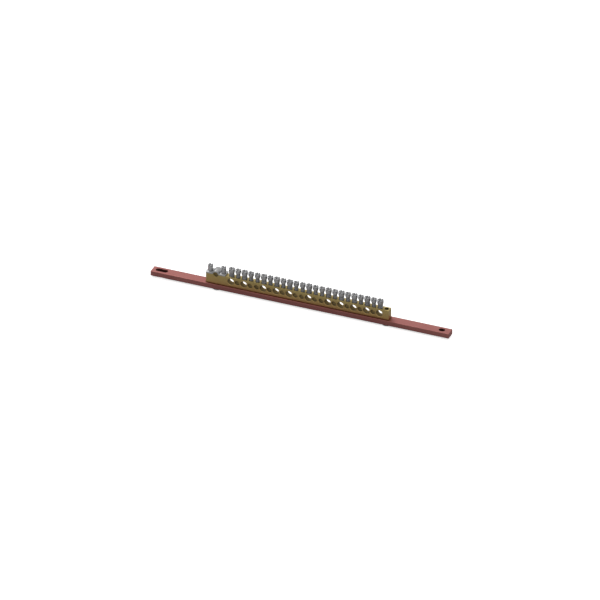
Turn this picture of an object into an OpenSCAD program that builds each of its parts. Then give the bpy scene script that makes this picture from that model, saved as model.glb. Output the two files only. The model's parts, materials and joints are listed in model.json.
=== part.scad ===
// Earth terminal bar: a brass terminal block screwed to a copper bar from beneath.
// Each wire goes through the block under its own slotted screw, and the main earth cable lies
// in a groove at the left end under a pressed saddle with two screws.
// All sizes are in millimetres. X runs along the bar, Y across it and Z up.
// The origin is at the middle of the footprint, on the plane of the fixing screws' flat heads.

/* [Copper bar] */
// Length of the copper bar
bar_length = 300; // [280:1:400]
// Width of the copper bar
bar_width = 10; // [9:0.5:20]
// Thickness of the copper bar
bar_thickness = 5; // [3:0.5:10]
// Radius of the bar's four long edges
bar_edge = 0.4; // [0.1:0.05:1]
// Width of the two slots that fix the bar
slot_width = 5; // [3.5:0.1:5.4]
// Length of the left slot from end to end
left_slot_length = 12.2; // [8:0.1:20]
// Left end of the bar to the middle of the left slot
left_slot_inset = 9.5; // [8:0.1:20]
// Length of the right slot from end to end
right_slot_length = 6.2; // [5.6:0.1:16]
// Right end of the bar to the middle of the right slot
right_slot_inset = 8.5; // [6:0.1:20]

/* [Terminal block] */
// Left end of the bar to the left end of the block
block_inset = 55.4; // [25:0.1:70]
// Width of the block across the bar
block_width = 6.5; // [6:0.1:9]
// Height of the block
block_height = 10.3; // [10:0.1:14]
// Radius of the block's four long edges
block_edge = 0.3; // [0.1:0.05:0.6]
// Left end of the block to the first terminal
first_terminal = 24.9; // [24.5:0.1:40]
// Number of terminals
terminal_count = 24; // [2:1:26]
// Distance from one terminal to the next
terminal_pitch = 6.5; // [6.3:0.1:8]
// Last terminal to the right end of the block
end_margin = 9.6; // [9:0.1:16]

/* [Wire holes] */
// Height of the wire holes' axes above the copper
wire_height = 5.4; // [4.8:0.1:5.6]
// Diameter of the large wire holes
large_wire_d = 6.4; // [5.4:0.1:6.6]
// Diameter of the small wire holes
small_wire_d = 4.6; // [4.4:0.1:5]
// Chamfer round both mouths of a wire hole
wire_chamfer = 0.25; // [0.1:0.05:0.4]

/* [Terminal screws] */
// Thread diameter of the screws over the large wire holes
large_thread_d = 5; // [4.4:0.1:5.2]
// Thread diameter of all the other screws
thread_d = 4; // [3:0.1:4.2]
// Head diameter of the large terminal screws
large_head_d = 6; // [5.8:0.1:6.4]
// Head diameter of the small terminal screws
small_head_d = 5.4; // [4.8:0.1:5.8]
// Head height of the terminal screws, with the taper
terminal_head_h = 4; // [2.5:0.1:5]
// Height of the taper under the head
terminal_taper_h = 0.8; // [0.3:0.1:1.2]
// Gap under the head when the terminal is open
terminal_open = 4.1; // [2:0.1:5]

/* [Clamp] */
// Length of the saddle along the bar
saddle_length = 20; // [19.6:0.1:21.6]
// Width of the saddle across the bar
saddle_width = 8.5; // [6.5:0.1:10]
// Thickness of the saddle's strip
saddle_thickness = 1.5; // [1:0.1:1.6]
// Inside radius of the two bends beside the saddle's arch
saddle_bend = 0.3; // [0.1:0.1:0.4]
// Corner radius of the saddle's ends
saddle_corner = 1; // [0.3:0.1:1.6]
// Diameter of the earth cable that the saddle holds
cable_d = 5.2; // [4:0.1:5.3]
// Distance between the two clamp screws
clamp_spacing = 13.2; // [13.1:0.1:14]
// Head diameter of the clamp screws
clamp_head_d = 5; // [4.6:0.1:5.1]
// Head height of the clamp screws
clamp_head_h = 6.1; // [3:0.1:8]
// Length of thread that a clamp screw has in the block
clamp_reach = 6; // [4:0.1:8]

/* [Fixing screws] */
// Head diameter of the screws under the bar
fixing_head_d = 8.4; // [7:0.1:9]
// Head height of the screws under the bar
fixing_head_h = 1.4; // [1.2:0.1:3]
// Length of thread that a fixing screw has in the block
fixing_reach = 5.5; // [3:0.1:6]
// Right end of the block to the right fixing screw
right_fixing_inset = 3.3; // [3.2:0.1:5]

/* [Slots and fits] */
// Width of the driver slots in the terminal and clamp screws
driver_slot_w = 1; // [0.6:0.1:1.4]
// Depth of the driver slots
driver_slot_d = 1.2; // [0.6:0.1:1.8]
// Chamfer on screw tips and heads
screw_chamfer = 0.3; // [0.1:0.05:0.5]
// Radial gap between a thread and its tapped hole
thread_gap = 0.05; // [0.02:0.01:0.1]
// Radial gap between a screw and a hole that it passes through
pass_gap = 0.25; // [0.1:0.05:0.4]
// Depth and width of the countersink at the mouth of a tapped hole
countersink = 0.35; // [0.2:0.05:0.35]
// Gap between the tip of an open terminal screw and a large wire hole
tip_gap = 0.1; // [0.05:0.05:0.3]

/* [Hidden] */
$fn = 48;
eps = 0.01; // overlap that keeps a cut from leaving a skin
lap = 0.004; // lets two rounds cross a little where they would only touch

// Terminals with a large wire hole, counted from the left
large_terminals = [1, 3, 6, 8, 10, 13, 16, 18, 20, 22, 24];

// Planes that the pieces sit on
bar_bottom = fixing_head_h;
bar_top = bar_bottom + bar_thickness;
block_top = bar_top + block_height;

// Places along the bar
bar_left = -bar_length / 2;
bar_right = bar_length / 2;
block_left = bar_left + block_inset;
block_length = first_terminal + (terminal_count - 1) * terminal_pitch + end_margin;
block_right = block_left + block_length;
saddle_x = block_left + saddle_length / 2;
clamp_screw_x = [saddle_x - clamp_spacing / 2, saddle_x + clamp_spacing / 2];
fixing_screw_x = [saddle_x, block_right - right_fixing_inset];

// Round sizes that follow from the fits
pass_r = thread_d / 2 + pass_gap;
cable_r = cable_d / 2;

SCREW_NAMES = [for (i = [1:terminal_count]) str("terminal_screw_", i < 10 ? "0" : "", i)];

function terminal_x(i) = block_left + first_terminal + (i - 1) * terminal_pitch;

// Each terminal is of one of two kinds
function is_large(i) = len(search(i, large_terminals)) > 0;
function wire_d(i) = is_large(i) ? large_wire_d : small_wire_d;
function terminal_thread_d(i) = is_large(i) ? large_thread_d : thread_d;
function terminal_head_d(i) = is_large(i) ? large_head_d : small_head_d;

// All terminal screws have one length, and when open they end just above the large wire holes
terminal_shank = terminal_open + block_height - wire_height - large_wire_d / 2 - tip_gap;

// A rectangle with true arcs at its corners
module rounded_rectangle(size, r) {
    square([size.x - 2 * r, size.y], center = true);
    square([size.x, size.y - 2 * r], center = true);
    for (x = [-1, 1], y = [-1, 1])
        translate([x * (size.x / 2 - r), y * (size.y / 2 - r)])
            circle(r = r);
}

// A straight length of drawn bar along X, with its left end at x and its base at z
module drawn_bar(x, z, length, width, height, edge) {
    translate([x, 0, z + height / 2])
        rotate([90, 0, 90])
            linear_extrude(length)
                rounded_rectangle([width, height], edge);
}

// A slot with round ends, cut right through the copper
module fixing_slot(x, length) {
    reach = length / 2 - slot_width / 2;
    translate([x, 0, bar_bottom - eps])
        linear_extrude(bar_thickness + 2 * eps) {
            square([2 * reach, slot_width], center = true);
            for (side = [-1, 1])
                translate([side * reach, 0])
                    circle(d = slot_width);
        }
}

// A wire hole across the block, with a chamfer round each mouth
module wire_hole(x, d) {
    translate([x, 0, bar_top + wire_height])
        rotate([90, 0, 0]) {
            cylinder(d = d, h = block_width + 2 * eps, center = true);
            for (side = [0, 1])
                mirror([0, 0, side])
                    translate([0, 0, block_width / 2 - wire_chamfer])
                        cylinder(d1 = d, d2 = d + 2 * (wire_chamfer + eps), h = wire_chamfer + eps);
        }
}

// A tapped hole down from the top of the block, with a countersink at its mouth
module tapped_hole(x, thread, depth) {
    tapped_r = thread / 2 + thread_gap;
    translate([x, 0, block_top - depth])
        cylinder(r = tapped_r, h = depth + eps);
    translate([x, 0, block_top - countersink])
        cylinder(r1 = tapped_r, r2 = tapped_r + countersink + eps, h = countersink + eps);
}

// The turned outline of a slotted screw that stands on z = 0, with its shank below
module slotted_screw(head_d, head_h, taper_h, neck_d, thread, shank) {
    head_r = head_d / 2;
    shank_r = thread / 2;
    difference() {
        rotate_extrude()
            polygon([
                [0, -shank],
                [shank_r - screw_chamfer, -shank],
                [shank_r, -shank + screw_chamfer],
                [shank_r, 0],
                [neck_d / 2, 0],
                [head_r, taper_h],
                [head_r, head_h - screw_chamfer],
                [head_r - screw_chamfer, head_h],
                [0, head_h]
            ]);
        translate([-driver_slot_w / 2, -head_d, head_h - driver_slot_d])
            cube([driver_slot_w, 2 * head_d, driver_slot_d + eps]);
    }
}

module copper_bar() {
    color([0.72, 0.45, 0.42])
        difference() {
            drawn_bar(bar_left, bar_bottom, bar_length, bar_width, bar_thickness, bar_edge);
            fixing_slot(bar_left + left_slot_inset, left_slot_length);
            fixing_slot(bar_right - right_slot_inset, right_slot_length);
            for (x = fixing_screw_x)
                translate([x, 0, bar_bottom - eps])
                    cylinder(r = pass_r, h = bar_thickness + 2 * eps);
        }
}

module terminal_block() {
    color([0.72, 0.6, 0.34])
        difference() {
            drawn_bar(block_left, bar_top, block_length, block_width, block_height, block_edge);
            for (i = [1:terminal_count]) {
                wire_hole(terminal_x(i), wire_d(i));
                tapped_hole(terminal_x(i), terminal_thread_d(i), block_height - wire_height);
            }
            // the groove under the saddle is the lower half of the cable's round seat
            translate([saddle_x, 0, block_top])
                rotate([90, 0, 0])
                    cylinder(r = cable_r, h = block_width + 2 * eps, center = true);
            for (x = clamp_screw_x)
                tapped_hole(x, thread_d, clamp_reach + 1);
            // the left fixing screw ends in a blind hole, the right one in a hole open at the top
            translate([fixing_screw_x[0], 0, bar_top - eps])
                cylinder(r = thread_d / 2 + thread_gap, h = fixing_reach + screw_chamfer + eps);
            tapped_hole(fixing_screw_x[1], thread_d, block_height + eps);
        }
}

// Half of the pressed strip from the side: a flat foot that bends up into a round arch over the cable
module saddle_half() {
    arch_r = cable_r + saddle_thickness;
    bend_z = saddle_thickness + saddle_bend;
    bend_x = sqrt(pow(arch_r + saddle_bend, 2) - pow(bend_z, 2));
    difference() {
        union() {
            square([saddle_length / 2, saddle_thickness]);
            intersection() {
                circle(r = arch_r);
                square(arch_r + eps);
            }
            polygon([[0, 0], [bend_x, 0], [bend_x, bend_z]]);
        }
        circle(r = cable_r);
        translate([bend_x, bend_z])
            circle(r = saddle_bend + lap);
        // the underside bends with the top, one thickness further out
        difference() {
            polygon([[0, -eps], [bend_x, -eps], [bend_x, bend_z], [0, 0]]);
            translate([bend_x, bend_z])
                circle(r = saddle_bend + saddle_thickness + lap);
        }
    }
}

module clamp_saddle() {
    color([0.62, 0.62, 0.63])
        translate([saddle_x, 0, block_top])
            difference() {
                intersection() {
                    rotate([90, 0, 0])
                        linear_extrude(saddle_width, center = true)
                            for (side = [0, 1])
                                mirror([side, 0])
                                    saddle_half();
                    translate([0, 0, -eps])
                        linear_extrude(cable_r + saddle_thickness + 2 * eps)
                            rounded_rectangle([saddle_length, saddle_width], saddle_corner);
                }
                for (side = [-1, 1])
                    translate([side * clamp_spacing / 2, 0, -eps])
                        cylinder(r = pass_r, h = saddle_thickness + 2 * eps);
            }
}

module clamp_screw(side) {
    color([0.6, 0.6, 0.62])
        translate([clamp_screw_x[side], 0, block_top + saddle_thickness])
            slotted_screw(clamp_head_d, clamp_head_h, 0, clamp_head_d, thread_d,
                          saddle_thickness + clamp_reach);
}

module terminal_screw(i) {
    color([0.55, 0.56, 0.58])
        translate([terminal_x(i), 0, block_top + terminal_open])
            slotted_screw(terminal_head_d(i), terminal_head_h, terminal_taper_h,
                          terminal_thread_d(i) + 2 * screw_chamfer, terminal_thread_d(i),
                          terminal_shank);
}

// A flat round head under the copper and a shank up into the block
module fixing_screw(side) {
    head_r = fixing_head_d / 2;
    shank_r = thread_d / 2;
    tip = fixing_head_h + bar_thickness + fixing_reach;
    color([0.6, 0.6, 0.62])
        translate([fixing_screw_x[side], 0, 0])
            difference() {
                rotate_extrude()
                    polygon([
                        [0, 0],
                        [head_r - screw_chamfer, 0],
                        [head_r, screw_chamfer],
                        [head_r, fixing_head_h],
                        [shank_r, fixing_head_h],
                        [shank_r, tip - screw_chamfer],
                        [shank_r - screw_chamfer, tip],
                        [0, tip]
                    ]);
                translate([-fixing_head_d, -driver_slot_w / 2, -eps])
                    cube([2 * fixing_head_d, driver_slot_w, fixing_head_h / 2 + eps]);
            }
}

copper_bar();
terminal_block();
clamp_saddle();
clamp_screw(0);  // clamp_screw_left
clamp_screw(1);  // clamp_screw_right
fixing_screw(0);  // fixing_screw_left
fixing_screw(1);  // fixing_screw_right
for (i = [1:terminal_count])
    terminal_screw(i);
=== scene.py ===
import json
import math
import bpy
import numpy as np
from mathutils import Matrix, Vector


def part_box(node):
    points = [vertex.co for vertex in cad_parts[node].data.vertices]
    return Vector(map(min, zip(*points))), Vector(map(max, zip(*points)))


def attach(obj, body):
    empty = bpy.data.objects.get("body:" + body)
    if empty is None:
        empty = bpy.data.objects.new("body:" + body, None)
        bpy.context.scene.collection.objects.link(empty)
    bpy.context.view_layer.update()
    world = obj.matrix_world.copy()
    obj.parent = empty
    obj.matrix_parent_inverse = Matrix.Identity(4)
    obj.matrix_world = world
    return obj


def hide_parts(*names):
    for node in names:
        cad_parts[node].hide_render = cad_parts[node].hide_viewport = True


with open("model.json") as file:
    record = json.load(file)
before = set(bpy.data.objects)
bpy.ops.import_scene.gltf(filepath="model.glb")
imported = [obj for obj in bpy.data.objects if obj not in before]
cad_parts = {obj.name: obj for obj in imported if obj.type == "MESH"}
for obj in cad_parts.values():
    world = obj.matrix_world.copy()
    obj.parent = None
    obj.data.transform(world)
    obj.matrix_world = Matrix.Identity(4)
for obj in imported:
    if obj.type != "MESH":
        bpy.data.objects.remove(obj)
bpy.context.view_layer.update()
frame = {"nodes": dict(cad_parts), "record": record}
nodes = frame["nodes"]
mm = 0.001
screwNames = sorted(n for n in nodes if n.startswith("terminal_screw"))
print("frame loaded,", len(nodes), "nodes")


# ---- shader helpers ----

def addNode(tree, kind, place=(0, 0), **settings):
    node = tree.nodes.new(kind)
    node.location = place
    for key, value in settings.items():
        setattr(node, key, value)
    return node


def setInputs(node, **values):
    for key, value in values.items():
        node.inputs[key.replace("_", " ")].default_value = value


def newGroup(name, inputs, outputs):
    group = bpy.data.node_groups.new(name, "ShaderNodeTree")
    for socketName, kind, start in inputs:
        socket = group.interface.new_socket(socketName, in_out="INPUT", socket_type=kind)
        socket.default_value = start
    for socketName, kind in outputs:
        group.interface.new_socket(socketName, in_out="OUTPUT", socket_type=kind)
    return group, addNode(group, "NodeGroupInput", (-900, 0)), addNode(group, "NodeGroupOutput", (700, 0))


def placeGroup(tree, group, place, **values):
    node = addNode(tree, "ShaderNodeGroup", place, node_tree=group)
    setInputs(node, **values)
    return node


def buildEdgeWear():
    # wear = how far the rounded normal leans from the flat one, broken up by noise
    group, source, out = newGroup(
        "edgeWear",
        [("Width", "NodeSocketFloat", 0.0003), ("Sharpness", "NodeSocketFloat", 5.0),
         ("Break Up", "NodeSocketFloat", 0.5)],
        [("Mask", "NodeSocketFloat"), ("Normal", "NodeSocketVector")])
    link = group.links.new
    bevel = addNode(group, "ShaderNodeBevel", (-650, 0), samples=6)
    link(source.outputs["Width"], bevel.inputs["Radius"])
    flat = addNode(group, "ShaderNodeNewGeometry", (-650, -200))
    dot = addNode(group, "ShaderNodeVectorMath", (-450, 0), operation="DOT_PRODUCT")
    link(bevel.outputs["Normal"], dot.inputs[0])
    link(flat.outputs["Normal"], dot.inputs[1])
    lean = addNode(group, "ShaderNodeMath", (-250, 0), operation="SUBTRACT")
    lean.inputs[0].default_value = 1.0
    link(dot.outputs["Value"], lean.inputs[1])
    strong = addNode(group, "ShaderNodeMath", (-50, 0), operation="MULTIPLY")
    link(lean.outputs[0], strong.inputs[0])
    link(source.outputs["Sharpness"], strong.inputs[1])
    spot = addNode(group, "ShaderNodeTexCoord", (-650, -450))
    noise = addNode(group, "ShaderNodeTexNoise", (-450, -400))
    setInputs(noise, Scale=900.0, Detail=3.0)
    link(spot.outputs["Object"], noise.inputs["Vector"])
    gap = addNode(group, "ShaderNodeMath", (-250, -300), operation="MULTIPLY")
    link(noise.outputs["Fac"], gap.inputs[0])
    link(source.outputs["Break Up"], gap.inputs[1])
    mask = addNode(group, "ShaderNodeMath", (150, 0), operation="SUBTRACT", use_clamp=True)
    link(strong.outputs[0], mask.inputs[0])
    link(gap.outputs[0], mask.inputs[1])
    link(mask.outputs[0], out.inputs["Mask"])
    link(bevel.outputs["Normal"], out.inputs["Normal"])
    return group


def buildDrawnGrain():
    # long fine lines along X, as a drawing die leaves them, with broader bands beside them
    group, source, out = newGroup(
        "drawnGrain",
        [("Fineness", "NodeSocketFloat", 5000.0), ("Length", "NodeSocketFloat", 0.01)],
        [("Lines", "NodeSocketFloat"), ("Bands", "NodeSocketFloat")])
    link = group.links.new
    spot = addNode(group, "ShaderNodeTexCoord", (-900, -200))
    stretch = addNode(group, "ShaderNodeCombineXYZ", (-650, -100))
    link(source.outputs["Length"], stretch.inputs["X"])
    stretch.inputs["Y"].default_value = 1.0
    stretch.inputs["Z"].default_value = 1.0
    squeezed = addNode(group, "ShaderNodeVectorMath", (-450, 0), operation="MULTIPLY")
    link(spot.outputs["Object"], squeezed.inputs[0])
    link(stretch.outputs["Vector"], squeezed.inputs[1])
    lines = addNode(group, "ShaderNodeTexNoise", (-200, 100))
    setInputs(lines, Detail=4.0, Roughness=0.65)
    link(source.outputs["Fineness"], lines.inputs["Scale"])
    link(squeezed.outputs["Vector"], lines.inputs["Vector"])
    broad = addNode(group, "ShaderNodeMath", (-450, -250), operation="MULTIPLY")
    link(source.outputs["Fineness"], broad.inputs[0])
    broad.inputs[1].default_value = 0.14
    bands = addNode(group, "ShaderNodeTexNoise", (-200, -200))
    setInputs(bands, Detail=2.0)
    link(broad.outputs[0], bands.inputs["Scale"])
    link(squeezed.outputs["Vector"], bands.inputs["Vector"])
    link(lines.outputs["Fac"], out.inputs["Lines"])
    link(bands.outputs["Fac"], out.inputs["Bands"])
    return group


def buildTarnish():
    # soft clouds of tarnish with small darker specks in them
    group, source, out = newGroup(
        "tarnish",
        [("Cloud Scale", "NodeSocketFloat", 60.0), ("Speck Scale", "NodeSocketFloat", 900.0)],
        [("Clouds", "NodeSocketFloat"), ("Specks", "NodeSocketFloat")])
    link = group.links.new
    spot = addNode(group, "ShaderNodeTexCoord", (-900, -200))
    clouds = addNode(group, "ShaderNodeTexNoise", (-450, 100))
    setInputs(clouds, Detail=5.0, Roughness=0.6, Distortion=0.4)
    link(source.outputs["Cloud Scale"], clouds.inputs["Scale"])
    link(spot.outputs["Object"], clouds.inputs["Vector"])
    grains = addNode(group, "ShaderNodeTexNoise", (-450, -200))
    setInputs(grains, Detail=2.0)
    link(source.outputs["Speck Scale"], grains.inputs["Scale"])
    link(spot.outputs["Object"], grains.inputs["Vector"])
    cloudRamp = addNode(group, "ShaderNodeMapRange", (-150, 100))
    setInputs(cloudRamp, From_Min=0.32, From_Max=0.68)
    link(clouds.outputs["Fac"], cloudRamp.inputs["Value"])
    speckRamp = addNode(group, "ShaderNodeMapRange", (-150, -200))
    setInputs(speckRamp, From_Min=0.62, From_Max=0.74)
    link(grains.outputs["Fac"], speckRamp.inputs["Value"])
    link(cloudRamp.outputs["Result"], out.inputs["Clouds"])
    link(speckRamp.outputs["Result"], out.inputs["Specks"])
    return group


def buildTurnedRings():
    # rings left by the lathe tool, read from each screw's own distance along its outline
    group, source, out = newGroup(
        "turnedRings", [("Pitch", "NodeSocketFloat", 0.0001)],
        [("Rings", "NodeSocketFloat"), ("Tone", "NodeSocketFloat")])
    link = group.links.new
    place = addNode(group, "ShaderNodeAttribute", (-900, -200), attribute_name="outlinePlace")
    tone = addNode(group, "ShaderNodeAttribute", (-900, -400), attribute_name="screwTone")
    spot = addNode(group, "ShaderNodeTexCoord", (-900, 200))
    wobble = addNode(group, "ShaderNodeTexNoise", (-650, 200))
    setInputs(wobble, Scale=500.0, Detail=2.0)
    link(spot.outputs["Object"], wobble.inputs["Vector"])
    turns = addNode(group, "ShaderNodeMath", (-650, 0), operation="DIVIDE")
    link(place.outputs["Fac"], turns.inputs[0])
    link(source.outputs["Pitch"], turns.inputs[1])
    moved = addNode(group, "ShaderNodeMath", (-450, 50), operation="ADD")
    link(turns.outputs[0], moved.inputs[0])
    link(wobble.outputs["Fac"], moved.inputs[1])
    rings = addNode(group, "ShaderNodeTexNoise", (-200, 50), noise_dimensions="1D")
    setInputs(rings, Scale=1.0, Detail=3.0)
    link(moved.outputs[0], rings.inputs["W"])
    link(rings.outputs["Fac"], out.inputs["Rings"])
    link(tone.outputs["Fac"], out.inputs["Tone"])
    return group


def buildInsideBox():
    # how deep a point lies under the outer faces of a box, so that bores and slots can take painted shade
    group, source, out = newGroup(
        "insideBox",
        [("Low", "NodeSocketVector", (0, 0, 0)), ("High", "NodeSocketVector", (0, 0, 0)),
         ("Skin", "NodeSocketFloat", 0.0002), ("Depth", "NodeSocketFloat", 0.0008)],
        [("Mask", "NodeSocketFloat")])
    link = group.links.new
    spot = addNode(group, "ShaderNodeTexCoord", (-900, -200))
    near = []
    for corner, first, second, height in (("Low", "spot", "Low", 150), ("High", "High", "spot", -150)):
        gap = addNode(group, "ShaderNodeVectorMath", (-650, height), operation="SUBTRACT")
        for socket, name in ((gap.inputs[0], first), (gap.inputs[1], second)):
            link(spot.outputs["Object"] if name == "spot" else source.outputs[corner], socket)
        parts = addNode(group, "ShaderNodeSeparateXYZ", (-450, height))
        link(gap.outputs["Vector"], parts.inputs["Vector"])
        near += list(parts.outputs)
    least = near[0]
    for index, value in enumerate(near[1:]):
        node = addNode(group, "ShaderNodeMath", (-250 + 150 * index, 0), operation="MINIMUM")
        link(least, node.inputs[0])
        link(value, node.inputs[1])
        least = node.outputs[0]
    ramp = addNode(group, "ShaderNodeMapRange", (500, 0), interpolation_type="SMOOTHSTEP")
    link(least, ramp.inputs["Value"])
    link(source.outputs["Skin"], ramp.inputs["From Min"])
    link(source.outputs["Depth"], ramp.inputs["From Max"])
    link(ramp.outputs["Result"], out.inputs["Mask"])
    return group


def buildBesideBox():
    # 1 against the walls of an upright box, falling to 0 at a reach from them in plan
    group, source, out = newGroup(
        "besideBox",
        [("Middle", "NodeSocketVector", (0, 0, 0)), ("Half", "NodeSocketVector", (0, 0, 0)),
         ("Reach", "NodeSocketFloat", 0.001)],
        [("Mask", "NodeSocketFloat")])
    link = group.links.new
    spot = addNode(group, "ShaderNodeTexCoord", (-900, -200))
    offset = addNode(group, "ShaderNodeVectorMath", (-700, 0), operation="SUBTRACT")
    link(spot.outputs["Object"], offset.inputs[0])
    link(source.outputs["Middle"], offset.inputs[1])
    sides = addNode(group, "ShaderNodeVectorMath", (-500, 0), operation="ABSOLUTE")
    link(offset.outputs["Vector"], sides.inputs[0])
    past = addNode(group, "ShaderNodeVectorMath", (-300, 0), operation="SUBTRACT")
    link(sides.outputs["Vector"], past.inputs[0])
    link(source.outputs["Half"], past.inputs[1])
    outside = addNode(group, "ShaderNodeVectorMath", (-100, 0), operation="MAXIMUM")
    link(past.outputs["Vector"], outside.inputs[0])
    flat = addNode(group, "ShaderNodeVectorMath", (100, 0), operation="MULTIPLY")
    flat.inputs[1].default_value = (1, 1, 0)
    link(outside.outputs["Vector"], flat.inputs[0])
    far = addNode(group, "ShaderNodeVectorMath", (300, 0), operation="LENGTH")
    link(flat.outputs["Vector"], far.inputs[0])
    ramp = addNode(group, "ShaderNodeMapRange", (500, 0))
    setInputs(ramp, To_Min=1.0, To_Max=0.0)
    link(far.outputs["Value"], ramp.inputs["Value"])
    link(source.outputs["Reach"], ramp.inputs["From Max"])
    link(ramp.outputs["Result"], out.inputs["Mask"])
    return group


edgeWear = buildEdgeWear()
insideBox = buildInsideBox()
besideBox = buildBesideBox()
drawnGrain = buildDrawnGrain()
tarnish = buildTarnish()
turnedRings = buildTurnedRings()


def newMaterial(name):
    material = bpy.data.materials.new(name)
    material.use_nodes = True
    tree = material.node_tree
    tree.nodes.clear()
    out = addNode(tree, "ShaderNodeOutputMaterial", (900, 0))
    shader = addNode(tree, "ShaderNodeBsdfPrincipled", (600, 0))
    tree.links.new(shader.outputs["BSDF"], out.inputs["Surface"])
    return material, tree, shader


def mixColor(tree, place, first, second, amount, blend="MIX"):
    mix = addNode(tree, "ShaderNodeMix", place, data_type="RGBA", blend_type=blend)
    for socket, value in ((mix.inputs[6], first), (mix.inputs[7], second), (mix.inputs[0], amount)):
        if isinstance(value, (tuple, float)):
            socket.default_value = (*value, 1) if isinstance(value, tuple) else value
        else:
            tree.links.new(value, socket)
    return mix.outputs[2]


def mapRange(tree, place, value, toMin, toMax, fromMin=0.0, fromMax=1.0):
    node = addNode(tree, "ShaderNodeMapRange", place)
    setInputs(node, From_Min=fromMin, From_Max=fromMax, To_Min=toMin, To_Max=toMax)
    tree.links.new(value, node.inputs["Value"])
    return node.outputs["Result"]


def bumpFrom(tree, place, height, distance, normal=None, strength=1.0):
    node = addNode(tree, "ShaderNodeBump", place)
    setInputs(node, Strength=strength, Distance=distance)
    tree.links.new(height, node.inputs["Height"])
    if normal is not None:
        tree.links.new(normal, node.inputs["Normal"])
    return node.outputs["Normal"]


def objectAxis(tree, place, axis):
    spot = addNode(tree, "ShaderNodeTexCoord", place)
    parts = addNode(tree, "ShaderNodeSeparateXYZ", (place[0] + 150, place[1]))
    tree.links.new(spot.outputs["Object"], parts.inputs["Vector"])
    return parts.outputs[axis]


# mixes a painted-light colour (shade, contact shadow, reflection) into a colour by a mask, up to an amount
def mixPaintedLight(tree, place, color, paintedColor, mask, amount):
    share = mapRange(tree, (place[0] - 150, place[1]), mask, 0.0, amount)
    return mixColor(tree, place, color, paintedColor, share)


def drawnMetal(name, v, addPaintedLight=None):
    # a drawn bar: base colour and darker clouds, lines along the bar, bright worn edges.
    # addPaintedLight, where given, adds the painted shade and painted reflection a bar gets from its place: it
    # takes the colour socket and returns it changed
    material, tree, shader = newMaterial(name)
    link = tree.links.new
    wear = placeGroup(tree, edgeWear, (-700, -300), Width=v["edgeRadius"], Sharpness=v["wearSharpness"],
                      Break_Up=v["wearBreakUp"])
    grain = placeGroup(tree, drawnGrain, (-700, 0), Fineness=v["lineFineness"], Length=v["lineStretch"])
    stain = placeGroup(tree, tarnish, (-700, 300), Cloud_Scale=v["cloudScale"], Speck_Scale=v["speckScale"])
    clouds = mapRange(tree, (-450, 350), stain.outputs["Clouds"], 0.0, v["cloudAmount"])
    color = mixColor(tree, (-200, 300), v["color"], v["tarnishColor"], clouds)
    bands = mapRange(tree, (-450, 100), grain.outputs["Bands"], 0.0, v["bandAmount"], 0.35, 0.65)
    color = mixColor(tree, (0, 250), color, v["bandColor"], bands)
    specks = mapRange(tree, (-450, 500), stain.outputs["Specks"], 0.0, v["speckAmount"])
    color = mixColor(tree, (150, 250), color, v["speckColor"], specks)
    worn = mapRange(tree, (-450, -300), wear.outputs["Mask"], 0.0, v["wearAmount"])
    color = mixColor(tree, (300, 200), color, v["wornColor"], worn)
    if addPaintedLight is not None:
        color = addPaintedLight(tree, color)
    link(color, shader.inputs["Base Color"])
    rough = mapRange(tree, (0, -50), stain.outputs["Clouds"], v["roughness"], v["roughness"] + v["roughSpread"])
    link(rough, shader.inputs["Roughness"])
    lines = bumpFrom(tree, (0, -300), grain.outputs["Lines"], v["lineDepth"], wear.outputs["Normal"])
    link(lines, shader.inputs["Normal"])
    shader.inputs["Metallic"].default_value = v["metallic"]
    return material


def turnedMetal(name, v):
    # a plated screw: grey with a tone of its own, lathe rings and bright worn edges
    material, tree, shader = newMaterial(name)
    link = tree.links.new
    wear = placeGroup(tree, edgeWear, (-700, -300), Width=v["edgeRadius"], Sharpness=v["wearSharpness"],
                      Break_Up=v["wearBreakUp"])
    rings = placeGroup(tree, turnedRings, (-700, 0), Pitch=v["ringPitch"])
    stain = placeGroup(tree, tarnish, (-700, 300), Cloud_Scale=v["cloudScale"], Speck_Scale=v["speckScale"])
    tone = mixColor(tree, (-450, 0), v["darkColor"], v["color"], rings.outputs["Tone"])
    clouds = mapRange(tree, (-450, 350), stain.outputs["Clouds"], 0.0, v["cloudAmount"])
    color = mixColor(tree, (-200, 300), tone, v["tarnishColor"], clouds)
    specks = mapRange(tree, (-450, 500), stain.outputs["Specks"], 0.0, v["speckAmount"])
    color = mixColor(tree, (0, 250), color, v["speckColor"], specks)
    worn = mapRange(tree, (-450, -300), wear.outputs["Mask"], 0.0, v["wearAmount"])
    color = mixColor(tree, (200, 200), color, v["wornColor"], worn)
    # paintedFaceShade is painted shade: it darkens the shank, the head's underside, and the cheeks' top and
    # bottom rows
    shade = addNode(tree, "ShaderNodeAttribute", (200, 400), attribute_name="paintedFaceShade")
    shaded = addNode(tree, "ShaderNodeVectorMath", (400, 300), operation="SCALE")
    link(color, shaded.inputs[0])
    link(shade.outputs["Fac"], shaded.inputs["Scale"])
    link(shaded.outputs["Vector"], shader.inputs["Base Color"])
    rough = mapRange(tree, (0, -50), rings.outputs["Rings"], v["roughness"], v["roughness"] + v["roughSpread"])
    link(rough, shader.inputs["Roughness"])
    marks = bumpFrom(tree, (0, -300), rings.outputs["Rings"], v["ringDepth"], wear.outputs["Normal"])
    link(marks, shader.inputs["Normal"])
    shader.inputs["Metallic"].default_value = v["metallic"]
    return material


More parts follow.
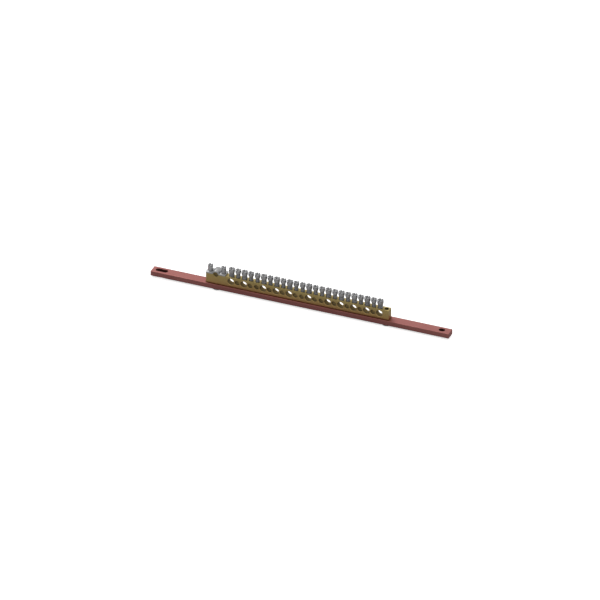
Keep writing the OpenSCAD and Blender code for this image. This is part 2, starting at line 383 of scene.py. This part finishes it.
copperFinish = {
    "color": (0.42, 0.165, 0.155), "tarnishColor": (0.30, 0.105, 0.10), "cloudAmount": 0.6,
    "bandColor": (0.47, 0.20, 0.17), "bandAmount": 0.45, "speckColor": (0.12, 0.05, 0.045),
    "speckAmount": 0.5, "wornColor": (0.66, 0.36, 0.30), "wearAmount": 0.8, "edgeRadius": 0.00025,
    "wearSharpness": 7.0, "wearBreakUp": 0.9, "lineFineness": 4200.0, "lineStretch": 0.006,
    "lineDepth": 0.000012, "cloudScale": 45.0, "speckScale": 1200.0, "roughness": 0.42,
    "roughSpread": 0.16, "metallic": 1.0,
}
brassFinish = {
    "color": (0.50, 0.39, 0.155), "tarnishColor": (0.36, 0.27, 0.10), "cloudAmount": 0.5,
    "bandColor": (0.56, 0.45, 0.20), "bandAmount": 0.4, "speckColor": (0.14, 0.10, 0.04),
    "speckAmount": 0.45, "wornColor": (0.78, 0.66, 0.36), "wearAmount": 0.8, "edgeRadius": 0.00018,
    "wearSharpness": 7.0, "wearBreakUp": 0.8, "lineFineness": 5200.0, "lineStretch": 0.008,
    "lineDepth": 0.00001, "cloudScale": 60.0, "speckScale": 1500.0, "roughness": 0.36,
    "roughSpread": 0.14, "metallic": 1.0,
}
saddleFinish = {
    "color": (0.50, 0.50, 0.50), "tarnishColor": (0.38, 0.38, 0.385), "cloudAmount": 0.5,
    "bandColor": (0.55, 0.55, 0.55), "bandAmount": 0.2, "speckColor": (0.18, 0.18, 0.18),
    "speckAmount": 0.4, "wornColor": (0.78, 0.78, 0.77), "wearAmount": 0.7, "edgeRadius": 0.00015,
    "wearSharpness": 5.0, "wearBreakUp": 0.7, "lineFineness": 3000.0, "lineStretch": 0.2,
    "lineDepth": 0.000006, "cloudScale": 160.0, "speckScale": 1800.0, "roughness": 0.34,
    "roughSpread": 0.14, "metallic": 1.0,
}
screwFinish = {
    "color": (0.60, 0.60, 0.605), "darkColor": (0.46, 0.46, 0.47), "tarnishColor": (0.38, 0.38, 0.39),
    "cloudAmount": 0.45, "speckColor": (0.16, 0.155, 0.15), "speckAmount": 0.45,
    "wornColor": (0.80, 0.80, 0.79), "wearAmount": 0.75, "edgeRadius": 0.00012, "wearSharpness": 6.0,
    "wearBreakUp": 0.7, "ringPitch": 0.00009, "ringDepth": 0.000006, "cloudScale": 260.0,
    "speckScale": 2200.0, "roughness": 0.30, "roughSpread": 0.14, "metallic": 1.0,
}
# settings of the painted shade on the copper: long sides, slots and holes, and the strip beside the block
copperPlace = {
    "sidePaintedShadeColor": (0.30, 0.125, 0.115), "sidePaintedShadeAmount": 0.25, "longSideFrom": 0.0047, "longSideTo": 0.00495,
    "borePaintedShadeColor": (0.10, 0.035, 0.03), "borePaintedShadeAmount": 0.8, "boreSkin": 0.0003, "boreDepth": 0.0014,
    "footPaintedShadeColor": (0.16, 0.065, 0.045), "footPaintedShadeAmount": 0.75, "footReach": 0.0016,
}
# settings of the painted light on the brass: shade and copper reflection towards the bottom, contact shadow at
# the joint, shade in the bores
brassPlace = {
    "lowPaintedShadeAndReflectionColor": (0.50, 0.29, 0.115), "lowPaintedShadeAndReflectionAmount": 0.7,
    "borePaintedShadeColor": (0.10, 0.07, 0.02), "borePaintedShadeAmount": 0.85, "boreSkin": 0.0002, "boreDepth": 0.0009,
    "jointPaintedShadowColor": (0.14, 0.07, 0.04), "jointPaintedShadowAmount": 0.8, "jointHeight": 0.0006,
}
barLow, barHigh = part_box("copper_bar")
blockLow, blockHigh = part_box("terminal_block")


def copperPaintedShade(tree, color):
    # painted shade: the long side faces, the slots and holes, and the strip beside the block are painted darker
    # than the top and bottom faces
    v = copperPlace
    # painted shade on the long front and back faces
    across = addNode(tree, "ShaderNodeMath", (-700, 700), operation="ABSOLUTE")
    tree.links.new(objectAxis(tree, (-1000, 700), "Y"), across.inputs[0])
    cut = mapRange(tree, (-450, 700), across.outputs[0], 0.0, 1.0, v["longSideFrom"], v["longSideTo"])
    color = mixPaintedLight(tree, (450, 700), color, v["sidePaintedShadeColor"], cut, v["sidePaintedShadeAmount"])
    # painted shade on the copper beside the block, where the block shades it
    beside = placeGroup(tree, besideBox, (-450, 900), Middle=(blockLow + blockHigh) / 2,
                        Half=(blockHigh - blockLow) / 2, Reach=v["footReach"])
    color = mixPaintedLight(tree, (450, 900), color, v["footPaintedShadeColor"], beside.outputs["Mask"], v["footPaintedShadeAmount"])
    # painted shade inside the slots and holes
    bore = placeGroup(tree, insideBox, (-450, 1100), Low=barLow, High=barHigh,
                      Skin=v["boreSkin"], Depth=v["boreDepth"])
    return mixPaintedLight(tree, (450, 1100), color, v["borePaintedShadeColor"], bore.outputs["Mask"], v["borePaintedShadeAmount"])


def brassPaintedShadeAndReflection(tree, color):
    # painted light: the brass is painted darker and redder towards the copper as painted shade and painted
    # reflection of the copper, painted dark in its bores as painted shade, and painted dark along the joint as
    # painted contact shadow
    v = brassPlace
    height = objectAxis(tree, (-1000, 700), "Z")
    # painted shade and painted reflection of the copper, growing towards the bottom
    low = mapRange(tree, (-450, 700), height, 1.0, 0.0, blockLow.z, blockHigh.z)
    color = mixPaintedLight(tree, (450, 700), color, v["lowPaintedShadeAndReflectionColor"], low, v["lowPaintedShadeAndReflectionAmount"])
    # painted contact shadow along the joint with the copper
    joint = mapRange(tree, (-450, 900), height, 1.0, 0.0, blockLow.z, blockLow.z + v["jointHeight"])
    color = mixPaintedLight(tree, (450, 900), color, v["jointPaintedShadowColor"], joint, v["jointPaintedShadowAmount"])
    # painted shade inside the bores
    bore = placeGroup(tree, insideBox, (-450, 1100), Low=blockLow, High=blockHigh,
                      Skin=v["boreSkin"], Depth=v["boreDepth"])
    return mixPaintedLight(tree, (450, 1100), color, v["borePaintedShadeColor"], bore.outputs["Mask"], v["borePaintedShadeAmount"])


copperMetal = drawnMetal("drawnCopper", copperFinish, copperPaintedShade)
brassMetal = drawnMetal("drawnBrass", brassFinish, brassPaintedShadeAndReflection)
saddleSteel = drawnMetal("platedSaddle", saddleFinish)
screwSteel = turnedMetal("platedScrew", screwFinish)
print("finishes ready")


# ---- mesh helpers ----

creaseAngle = math.radians(38)           # steeper edges than this stay sharp
coreShare = 0.6                          # of the shank's radius, where a head closes over it


def gridFaces(rows, columns, start=0):
    # quads of a grid that closes on itself round its columns, all facing outwards
    row, column = np.meshgrid(np.arange(rows - 1), np.arange(columns), indexing="ij")
    a = row * columns + column
    b = row * columns + (column + 1) % columns
    return (np.stack([a, b, b + columns, a + columns], axis=-1).reshape(-1, 4) + start).tolist()


def closedSurface(points, start=0):
    # points is rows x columns x 3, from the bottom up; a centre point closes each end with a fan
    rows, columns = points.shape[:2]
    centres = points[[0, -1]].mean(axis=1)
    vertices = np.concatenate([points.reshape(-1, 3), centres])
    faces = gridFaces(rows, columns, start)
    low = start + rows * columns
    first = np.arange(columns)
    after = (first + 1) % columns
    last = (rows - 1) * columns
    faces += np.stack([np.full(columns, low), after + start, first + start], axis=-1).tolist()
    high = np.stack([np.full(columns, low + 1), first + last + start, after + last + start], axis=-1)
    faces += high.tolist()
    return vertices, faces


def outlineLength(points):
    # distance along each column from the first row, plus the two centres at the ends
    steps = np.linalg.norm(np.diff(points, axis=0), axis=2)
    along = np.concatenate([np.zeros((1, points.shape[1])), np.cumsum(steps, axis=0)])
    ends = [0.0, along[-1].mean()]
    return np.concatenate([along.reshape(-1), ends])


def makePiece(name, shells, material, body, replaced, tone=None, paintedShades=None):
    # shells is a list of closed grids that together are one piece, and paintedShades one painted-shade factor a
    # row for each
    vertices, faces, places = [], [], []
    for points in shells:
        start = sum(len(part) for part in vertices)
        shellVertices, shellFaces = closedSurface(points, start)
        vertices.append(shellVertices)
        faces += shellFaces
        places.append(outlineLength(points))
    mesh = bpy.data.meshes.new(name)
    mesh.from_pydata(np.concatenate(vertices).tolist(), [], faces)
    mesh.update()
    mesh.polygons.foreach_set("use_smooth", np.ones(len(mesh.polygons), dtype=bool))
    mesh.set_sharp_from_angle(angle=creaseAngle)
    place = mesh.attributes.new("outlinePlace", "FLOAT", "POINT")
    place.data.foreach_set("value", np.concatenate(places).astype(np.float32))
    if tone is not None:
        shade = mesh.attributes.new("screwTone", "FLOAT", "POINT")
        shade.data.foreach_set("value", np.full(len(mesh.vertices), tone, dtype=np.float32))
        rows = [np.concatenate([np.repeat(values, points.shape[1]), values[[0, -1]]])
                for values, points in zip(paintedShades, shells)]
        # paintedFaceShade: painted-shade factors, one a vertex, that darken the shank and the head's top
        face = mesh.attributes.new("paintedFaceShade", "FLOAT", "POINT")
        face.data.foreach_set("value", np.concatenate(rows).astype(np.float32))
    mesh.materials.append(material)
    piece = bpy.data.objects.new(name, mesh)
    bpy.context.scene.collection.objects.link(piece)
    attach(piece, body)
    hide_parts(replaced)
    return piece


def ringPoints(radii, heights, columns):
    # a turned surface: radii is one value a row, or rows x columns where the outline changes round it
    angle = np.arange(columns) / columns * 2 * math.pi
    radii = np.asarray(radii, dtype=float)
    radii = radii if radii.ndim == 2 else np.repeat(radii[:, None], columns, axis=1)
    z = np.repeat(np.asarray(heights, dtype=float)[:, None], columns, axis=1)
    return np.stack([radii * np.cos(angle), radii * np.sin(angle), z], axis=-1)


def roundedCorner(radius, steps):
    # inset and drop of a quarter round, from the top of a wall to the edge of its cap
    turn = np.linspace(0, math.pi / 2, steps)
    return radius * (1 - np.cos(turn)), radius * (1 - np.sin(turn))


def threadedShank(v, length, columns=40, rowsPerTurn=11):
    # radius = crest radius less the thread's depth times a flat-topped wave of (height / pitch - turn),
    # with the wave fading in over a turn at both ends
    rows = int(length / v["pitch"] * rowsPerTurn)
    z = np.linspace(-length, 0, rows)
    turn = np.arange(columns) / columns
    phase = (z[:, None] / v["pitch"] - turn[None, :]) % 1.0
    wave = np.clip(1.45 * np.abs(2 * phase - 1) - 0.22, 0, 1)
    fade = np.clip(np.minimum((z + length) / v["pitch"], -z / (0.6 * v["pitch"])), 0, 1)[:, None]
    tip = np.clip(1 - (z + length) / v["tipChamfer"], 0, 1)[:, None] * v["tipChamfer"]
    radii = v["shankRadius"] - v["threadDepth"] * wave * fade - tip
    return ringPoints(radii, z, columns)


def slottedCheek(headRadius, slotHalf, low, high, rim, lip, side, columns=30):
    # half of a slotted head: an arc and a chord, both stepping inwards round the top edge.
    # The arc is rounded by rim, and the slot's edge by the smaller lip
    inset, drop = roundedCorner(rim, 5)
    z = np.concatenate([[low], high - drop])
    outer = headRadius - np.concatenate([[0], inset])
    sink = np.clip(z - (high - lip), 0, lip)
    chord = slotHalf + lip - np.sqrt(np.maximum(lip ** 2 - sink ** 2, 0))
    reach = np.arccos(chord / outer)
    along = np.linspace(-1, 1, columns)
    arc = reach[:, None] * along[None, :]
    arcX, arcY = outer[:, None] * np.cos(arc), outer[:, None] * np.sin(arc)
    across = np.linspace(1, -1, columns // 2 + 2)[1:-1]
    chordX = np.repeat(chord[:, None], len(across), axis=1)
    chordY = (outer * np.sin(reach))[:, None] * across[None, :]
    x, y = np.concatenate([arcX, chordX], axis=1), np.concatenate([arcY, chordY], axis=1)
    points = np.stack([x * side, y * side, np.repeat(z[:, None], x.shape[1], axis=1)], axis=-1)
    return points


def slottedScrew(v, shankLength):
    # three closed shells: the shank with its thread, the head up to the slot's floor, and two cheeks
    floor = v["headHeight"] - v["slotDepth"]
    if v["taperHeight"] > 0:
        radii = [v["shankRadius"] * coreShare, v["neckRadius"], v["headRadius"] - 0.05,
                 v["headRadius"], v["headRadius"]]
        heights = [0, 0, v["taperHeight"] - 0.05, v["taperHeight"] + 0.08, floor]
    else:
        inset, drop = roundedCorner(v["rim"], 5)
        radii = np.concatenate([[v["shankRadius"] * coreShare], v["headRadius"] - inset[::-1],
                                [v["headRadius"]]])
        heights = np.concatenate([[0], drop[::-1], [floor]])
    head = ringPoints(radii, heights, 56)
    cheeks = [slottedCheek(v["headRadius"], v["slotWidth"] / 2, floor - 0.01, v["headHeight"],
                           v["rim"], v["lip"], side)
              for side in (1, -1)]
    return [threadedShank(v, shankLength), head, *cheeks]


def paintedScrewShades(v, shells):
    # painted shade: the threaded shank, the head's underside, and the top and bottom rows of the cheeks are
    # darker than the turned sides
    paintedShades = [np.ones(len(points)) for points in shells]
    paintedShades[0][:] = v["paintedShankShade"]
    paintedShades[1][0] = v["paintedShankShade"]
    for cheek in paintedShades[2:]:
        cheek[-1] = v["paintedTopShade"]
        cheek[0] = v["paintedTopShade"]
    return paintedShades


def placed(shells, centre, turn=0.0, upsideDown=False):
    # millimetres about a screw's seat, turned about Z or stood on its head, then moved into the frame
    c, s = math.cos(turn), math.sin(turn)
    spin = np.array([[c, -s, 0], [s, c, 0], [0, 0, 1]])
    if upsideDown:
        spin = np.diag([1, -1, -1]) @ spin
    return [(points @ spin.T) * mm + np.asarray(centre) for points in shells]


bodyOf = {node: body for body, members in frame["record"]["behaviour"]["bodies"].items() for node in members}


# ---- the CAD solids that stay ----

for name, metal in (("copper_bar", copperMetal), ("terminal_block", brassMetal)):
    nodes[name].data.materials.clear()
    nodes[name].data.materials.append(metal)
print("copper bar and brass block dressed")


# ---- screws ----

# paintedShankShade and paintedTopShade are painted-shade factors for the shank and for the head's top and the
# foot of its slot
smallScrew = {
    "headHeight": 4.0, "taperHeight": 0.8, "neckRadius": 2.3, "shankRadius": 2.0, "pitch": 0.7,
    "threadDepth": 0.36, "tipChamfer": 0.3, "slotWidth": 1.0, "slotDepth": 1.2, "rim": 0.3, "lip": 0.1,
    "paintedShankShade": 0.6, "paintedTopShade": 0.5,
}
largeScrew = {**smallScrew, "neckRadius": 2.8, "shankRadius": 2.5, "pitch": 0.8, "threadDepth": 0.42}
largeFrom = 5.7                          # a head wider than this, in mm, is on a large screw
clampScrew = {
    "headHeight": 6.1, "taperHeight": 0, "shankRadius": 2.0, "pitch": 0.7,
    "threadDepth": 0.36, "tipChamfer": 0.3, "slotWidth": 1.0, "slotDepth": 1.2, "rim": 0.3, "lip": 0.1,
    "paintedShankShade": 0.6, "paintedTopShade": 0.5,
}
fixingScrew = {
    "headHeight": 1.4, "taperHeight": 0, "shankRadius": 2.0, "pitch": 0.7,
    "threadDepth": 0.36, "tipChamfer": 0.3, "slotWidth": 1.0, "slotDepth": 0.7, "rim": 0.25, "lip": 0.1,
    "paintedShankShade": 0.6, "paintedTopShade": 0.8,
}


def makeScrew(node, v, tone, turn=0.0, upsideDown=False):
    low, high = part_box(node)
    length = (high.z - low.z) / mm - v["headHeight"]
    seat = low.z + v["headHeight"] * mm if upsideDown else high.z - v["headHeight"] * mm
    centre = ((low.x + high.x) / 2, (low.y + high.y) / 2, seat)
    sizes = {**v, "headRadius": (high.x - low.x) / 2 / mm}
    shells = placed(slottedScrew(sizes, length), centre, turn, upsideDown)
    makePiece("dressed_" + node, shells, screwSteel, bodyOf[node], node, tone,
              paintedScrewShades(v, shells))


tones = np.random.default_rng(7).uniform(0.25, 1.0, len(screwNames) + 4)
for index, name in enumerate(screwNames):
    low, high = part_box(name)
    makeScrew(name, largeScrew if (high.x - low.x) / mm > largeFrom else smallScrew, tones[index])
makeScrew("clamp_screw_left", clampScrew, tones[-1])
makeScrew("clamp_screw_right", clampScrew, tones[-2])
makeScrew("fixing_screw_left", fixingScrew, tones[-3], math.pi / 2, True)
makeScrew("fixing_screw_right", fixingScrew, tones[-4], math.pi / 2, True)
print("screws turned and threaded")


# ---- saddle ----

saddle = {"thickness": 1.5, "seatRadius": 2.6, "bendRadius": 0.3, "corner": 1.0, "edge": 0.15}


def saddleLine(v, halfLength):
    # middle line of the strip from the left end: flat foot, bend, arch, bend, flat foot
    half = v["thickness"] / 2
    arch, bend = v["seatRadius"] + half, v["bendRadius"] + half
    bendX = math.sqrt((arch + bend) ** 2 - (half + bend) ** 2)
    lean = math.atan2(half + bend, bendX)
    edgeRows = v["edge"] * (1 - np.cos(np.linspace(0, math.pi / 2, 5)))
    footX = np.concatenate([edgeRows, np.linspace(v["edge"], v["corner"], 7)[1:]]) - halfLength
    turn = np.linspace(-math.pi / 2, -lean, 10)
    bendPoints = np.stack([-bendX + bend * np.cos(turn), half + bend + bend * np.sin(turn)], axis=1)
    sweep = np.linspace(math.pi - lean, lean, 42)[1:-1]
    archPoints = np.stack([arch * np.cos(sweep), arch * np.sin(sweep)], axis=1)
    left = np.concatenate([np.stack([footX, np.full(len(footX), half)], axis=1), bendPoints])
    return np.concatenate([left, archPoints, left[::-1] * [-1, 1]])


def saddleStrip(v, halfLength, halfWidth):
    # a rounded rectangle carried along that line. Its width follows the quarter rounds of the plan
    # corners, and it draws in by a smaller quarter round at the two cut ends
    line = saddleLine(v, halfLength)
    along = np.gradient(line, axis=0)
    along /= np.linalg.norm(along, axis=1)[:, None]
    normal = np.stack([-along[:, 1], along[:, 0]], axis=1)
    fromEnd = halfLength - np.abs(line[:, 0])
    missing = np.clip(v["edge"] - fromEnd, 0, v["edge"])
    draw = v["edge"] - np.sqrt(v["edge"] ** 2 - missing ** 2)
    missing = np.clip(v["corner"] - fromEnd, 0, v["corner"])
    width = halfWidth - draw - (v["corner"] - np.sqrt(v["corner"] ** 2 - missing ** 2))
    height = v["thickness"] / 2 - draw
    quarter = np.linspace(0, math.pi / 2, 4)
    turn = np.concatenate([quarter + k * math.pi / 2 for k in range(4)])
    sideY = np.repeat([1, -1, -1, 1], 4)
    sideZ = np.repeat([1, 1, -1, -1], 4)
    across = sideY * (width[:, None] - v["edge"]) + v["edge"] * np.cos(turn)
    up = sideZ * (height[:, None] - v["edge"]) + v["edge"] * np.sin(turn)
    x = line[:, 0:1] + normal[:, 0:1] * up
    z = line[:, 1:2] + normal[:, 1:2] * up
    return np.stack([x, across, z], axis=-1)


low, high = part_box("clamp_saddle")
centre = ((low.x + high.x) / 2, (low.y + high.y) / 2, low.z)
strip = saddleStrip(saddle, (high.x - low.x) / 2 / mm, (high.y - low.y) / 2 / mm)
makePiece("pressed_saddle", placed([strip], centre), saddleSteel, bodyOf["clamp_saddle"],
          "clamp_saddle")
print("saddle pressed")


# ---- studio ----

studio = {
    "floorSize": 40.0, "floorColor": (0.93, 0.93, 0.93), "floorGlow": 0.62, "floorBounce": (0.46, 0.46, 0.46),
    "skyColor": (1.0, 1.0, 1.0), "skyStrength": 0.66,
    "keyPlace": (-1.5, 1.0, 2.4), "keySize": 1.6, "keyPower": 30.0,
}


def makeFloor(v):
    half = v["floorSize"] / 2
    mesh = bpy.data.meshes.new("floor")
    corners = [(-half, -half, 0), (half, -half, 0), (half, half, 0), (-half, half, 0)]
    mesh.from_pydata(corners, [], [(0, 1, 2, 3)])
    floor = bpy.data.objects.new("floor", mesh)
    bpy.context.scene.collection.objects.link(floor)
    material = bpy.data.materials.new("paleFloor")
    material.use_nodes = True
    tree = material.node_tree
    tree.nodes.clear()
    out = addNode(tree, "ShaderNodeOutputMaterial", (400, 0))
    seen = addNode(tree, "ShaderNodeBsdfDiffuse", (0, 100))
    seen.inputs["Color"].default_value = (*v["floorColor"], 1)
    glow = addNode(tree, "ShaderNodeEmission", (0, 250))
    glow.inputs["Strength"].default_value = v["floorGlow"]
    bright = addNode(tree, "ShaderNodeAddShader", (150, 150))
    bounce = addNode(tree, "ShaderNodeBsdfDiffuse", (0, -100))
    bounce.inputs["Color"].default_value = (*v["floorBounce"], 1)
    path = addNode(tree, "ShaderNodeLightPath", (0, 400))
    mix = addNode(tree, "ShaderNodeMixShader", (200, 0))
    tree.links.new(path.outputs["Is Camera Ray"], mix.inputs["Fac"])
    tree.links.new(bounce.outputs["BSDF"], mix.inputs[1])
    tree.links.new(seen.outputs["BSDF"], bright.inputs[0])
    tree.links.new(glow.outputs["Emission"], bright.inputs[1])
    tree.links.new(bright.outputs["Shader"], mix.inputs[2])
    tree.links.new(mix.outputs["Shader"], out.inputs["Surface"])
    mesh.materials.append(material)


def makeArea(name, place, size, power, target=(0, 0, 0)):
    lamp = bpy.data.lights.new(name, "AREA")
    lamp.shape, lamp.size, lamp.energy = "SQUARE", size, power
    light = bpy.data.objects.new(name, lamp)
    bpy.context.scene.collection.objects.link(light)
    light.location = place
    aim = Vector(target) - light.location
    light.rotation_euler = aim.to_track_quat("-Z", "Y").to_euler()


makeFloor(studio)
makeArea("softKey", studio["keyPlace"], studio["keySize"], studio["keyPower"])
world = bpy.data.worlds.new("studioSky")
bpy.context.scene.world = world
world.use_nodes = True
world.node_tree.nodes["Background"].inputs["Color"].default_value = (*studio["skyColor"], 1)
world.node_tree.nodes["Background"].inputs["Strength"].default_value = studio["skyStrength"]
bpy.context.scene.view_settings.view_transform = "Standard"
print("studio lit")


# ---- camera ----

camera = {
    "azimuth": 22.4, "elevation": 31.0, "lens": 1000.0, "viewWidth": 0.5588,
    "target": (-0.00172, 0.00163, 0.00500),
}


def makeCamera(v):
    data = bpy.data.cameras.new("camera")
    data.lens = v["lens"]
    data.clip_end = 100
    holder = bpy.data.objects.new("camera", data)
    bpy.context.scene.collection.objects.link(holder)
    around, up = math.radians(v["azimuth"]), math.radians(v["elevation"])
    back = Vector((math.sin(around) * math.cos(up), -math.cos(around) * math.cos(up), math.sin(up)))
    distance = v["viewWidth"] * v["lens"] / data.sensor_width
    holder.location = Vector(v["target"]) + back * distance
    holder.rotation_euler = back.to_track_quat("Z", "Y").to_euler()
    bpy.context.scene.camera = holder


makeCamera(camera)
print("done")
